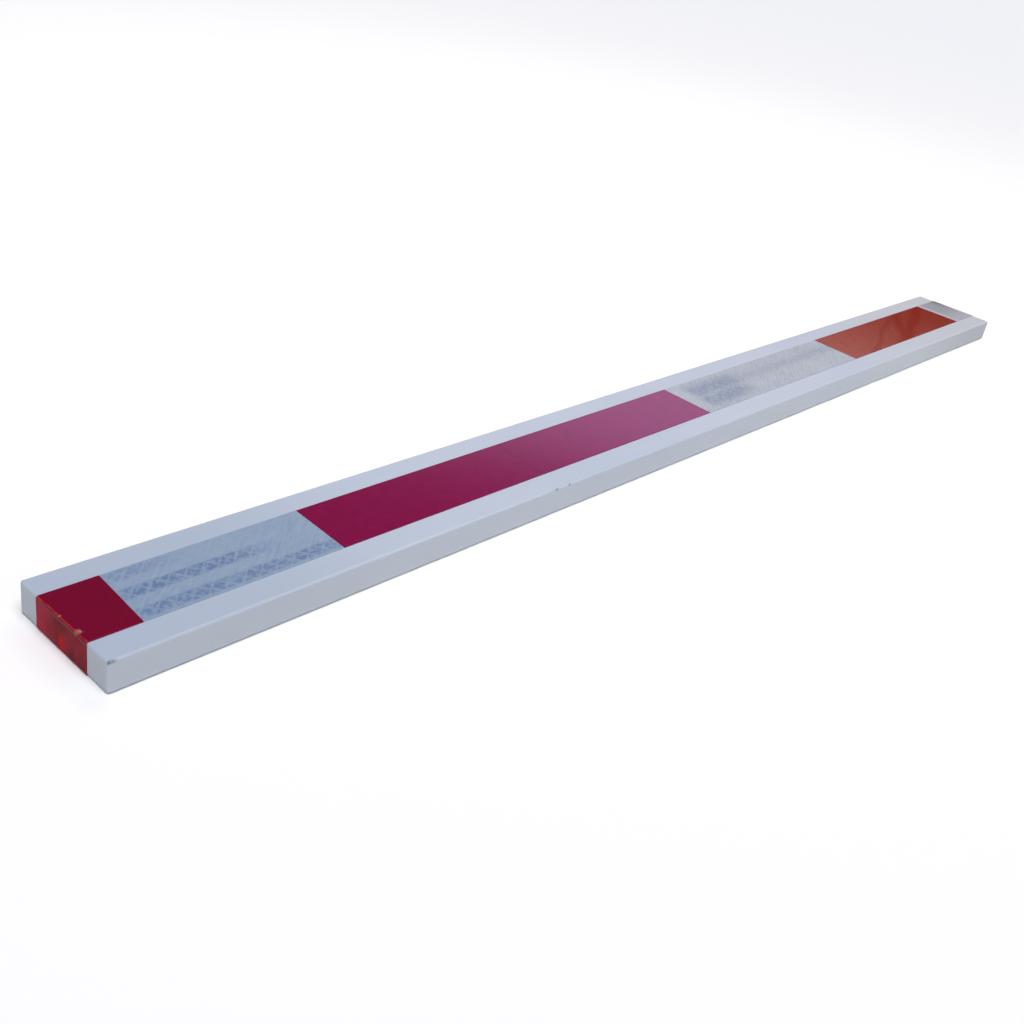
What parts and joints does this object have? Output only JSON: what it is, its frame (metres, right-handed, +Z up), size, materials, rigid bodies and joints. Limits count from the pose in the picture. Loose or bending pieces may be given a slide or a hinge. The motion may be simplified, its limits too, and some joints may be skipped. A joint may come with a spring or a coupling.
{
  "type": "parking barrier gate arm",
  "caption": "Straight flat barrier arm: a solid painted board with red and silver reflective tape along both wide faces and over both ends.",
  "frame": {"origin": "middle of the lowest face, on the plane the arm lies on, which is the outer face of the underside tape", "axes": "+X from the tip to the butt that the gate holds, +Y across the board, +Z up through its thickness"},
  "size_m": [1.144, 0.0888, 0.0216],
  "materials": {
    "board_paint": "brushed white exterior paint, satin",
    "tip_red_film": "smooth red prismatic reflective film",
    "red_film": "smooth red prismatic reflective film",
    "warm_red_film": "warmer red prismatic reflective film",
    "silver_film": "silver prismatic reflective film"
  },
  "bodies": {
    "root": {"arm_board": "board_paint", "tip_wrap_red": "tip_red_film", "top_tape_silver_short": "silver_film", "top_tape_red_long": "red_film", "top_tape_silver_long": "silver_film", "top_tape_red_short": "warm_red_film", "butt_wrap_silver": "silver_film", "under_tape_silver_short": "silver_film", "under_tape_red_long": "red_film", "under_tape_silver_long": "silver_film", "under_tape_red_short": "warm_red_film"}
  },
  "joints": []
}
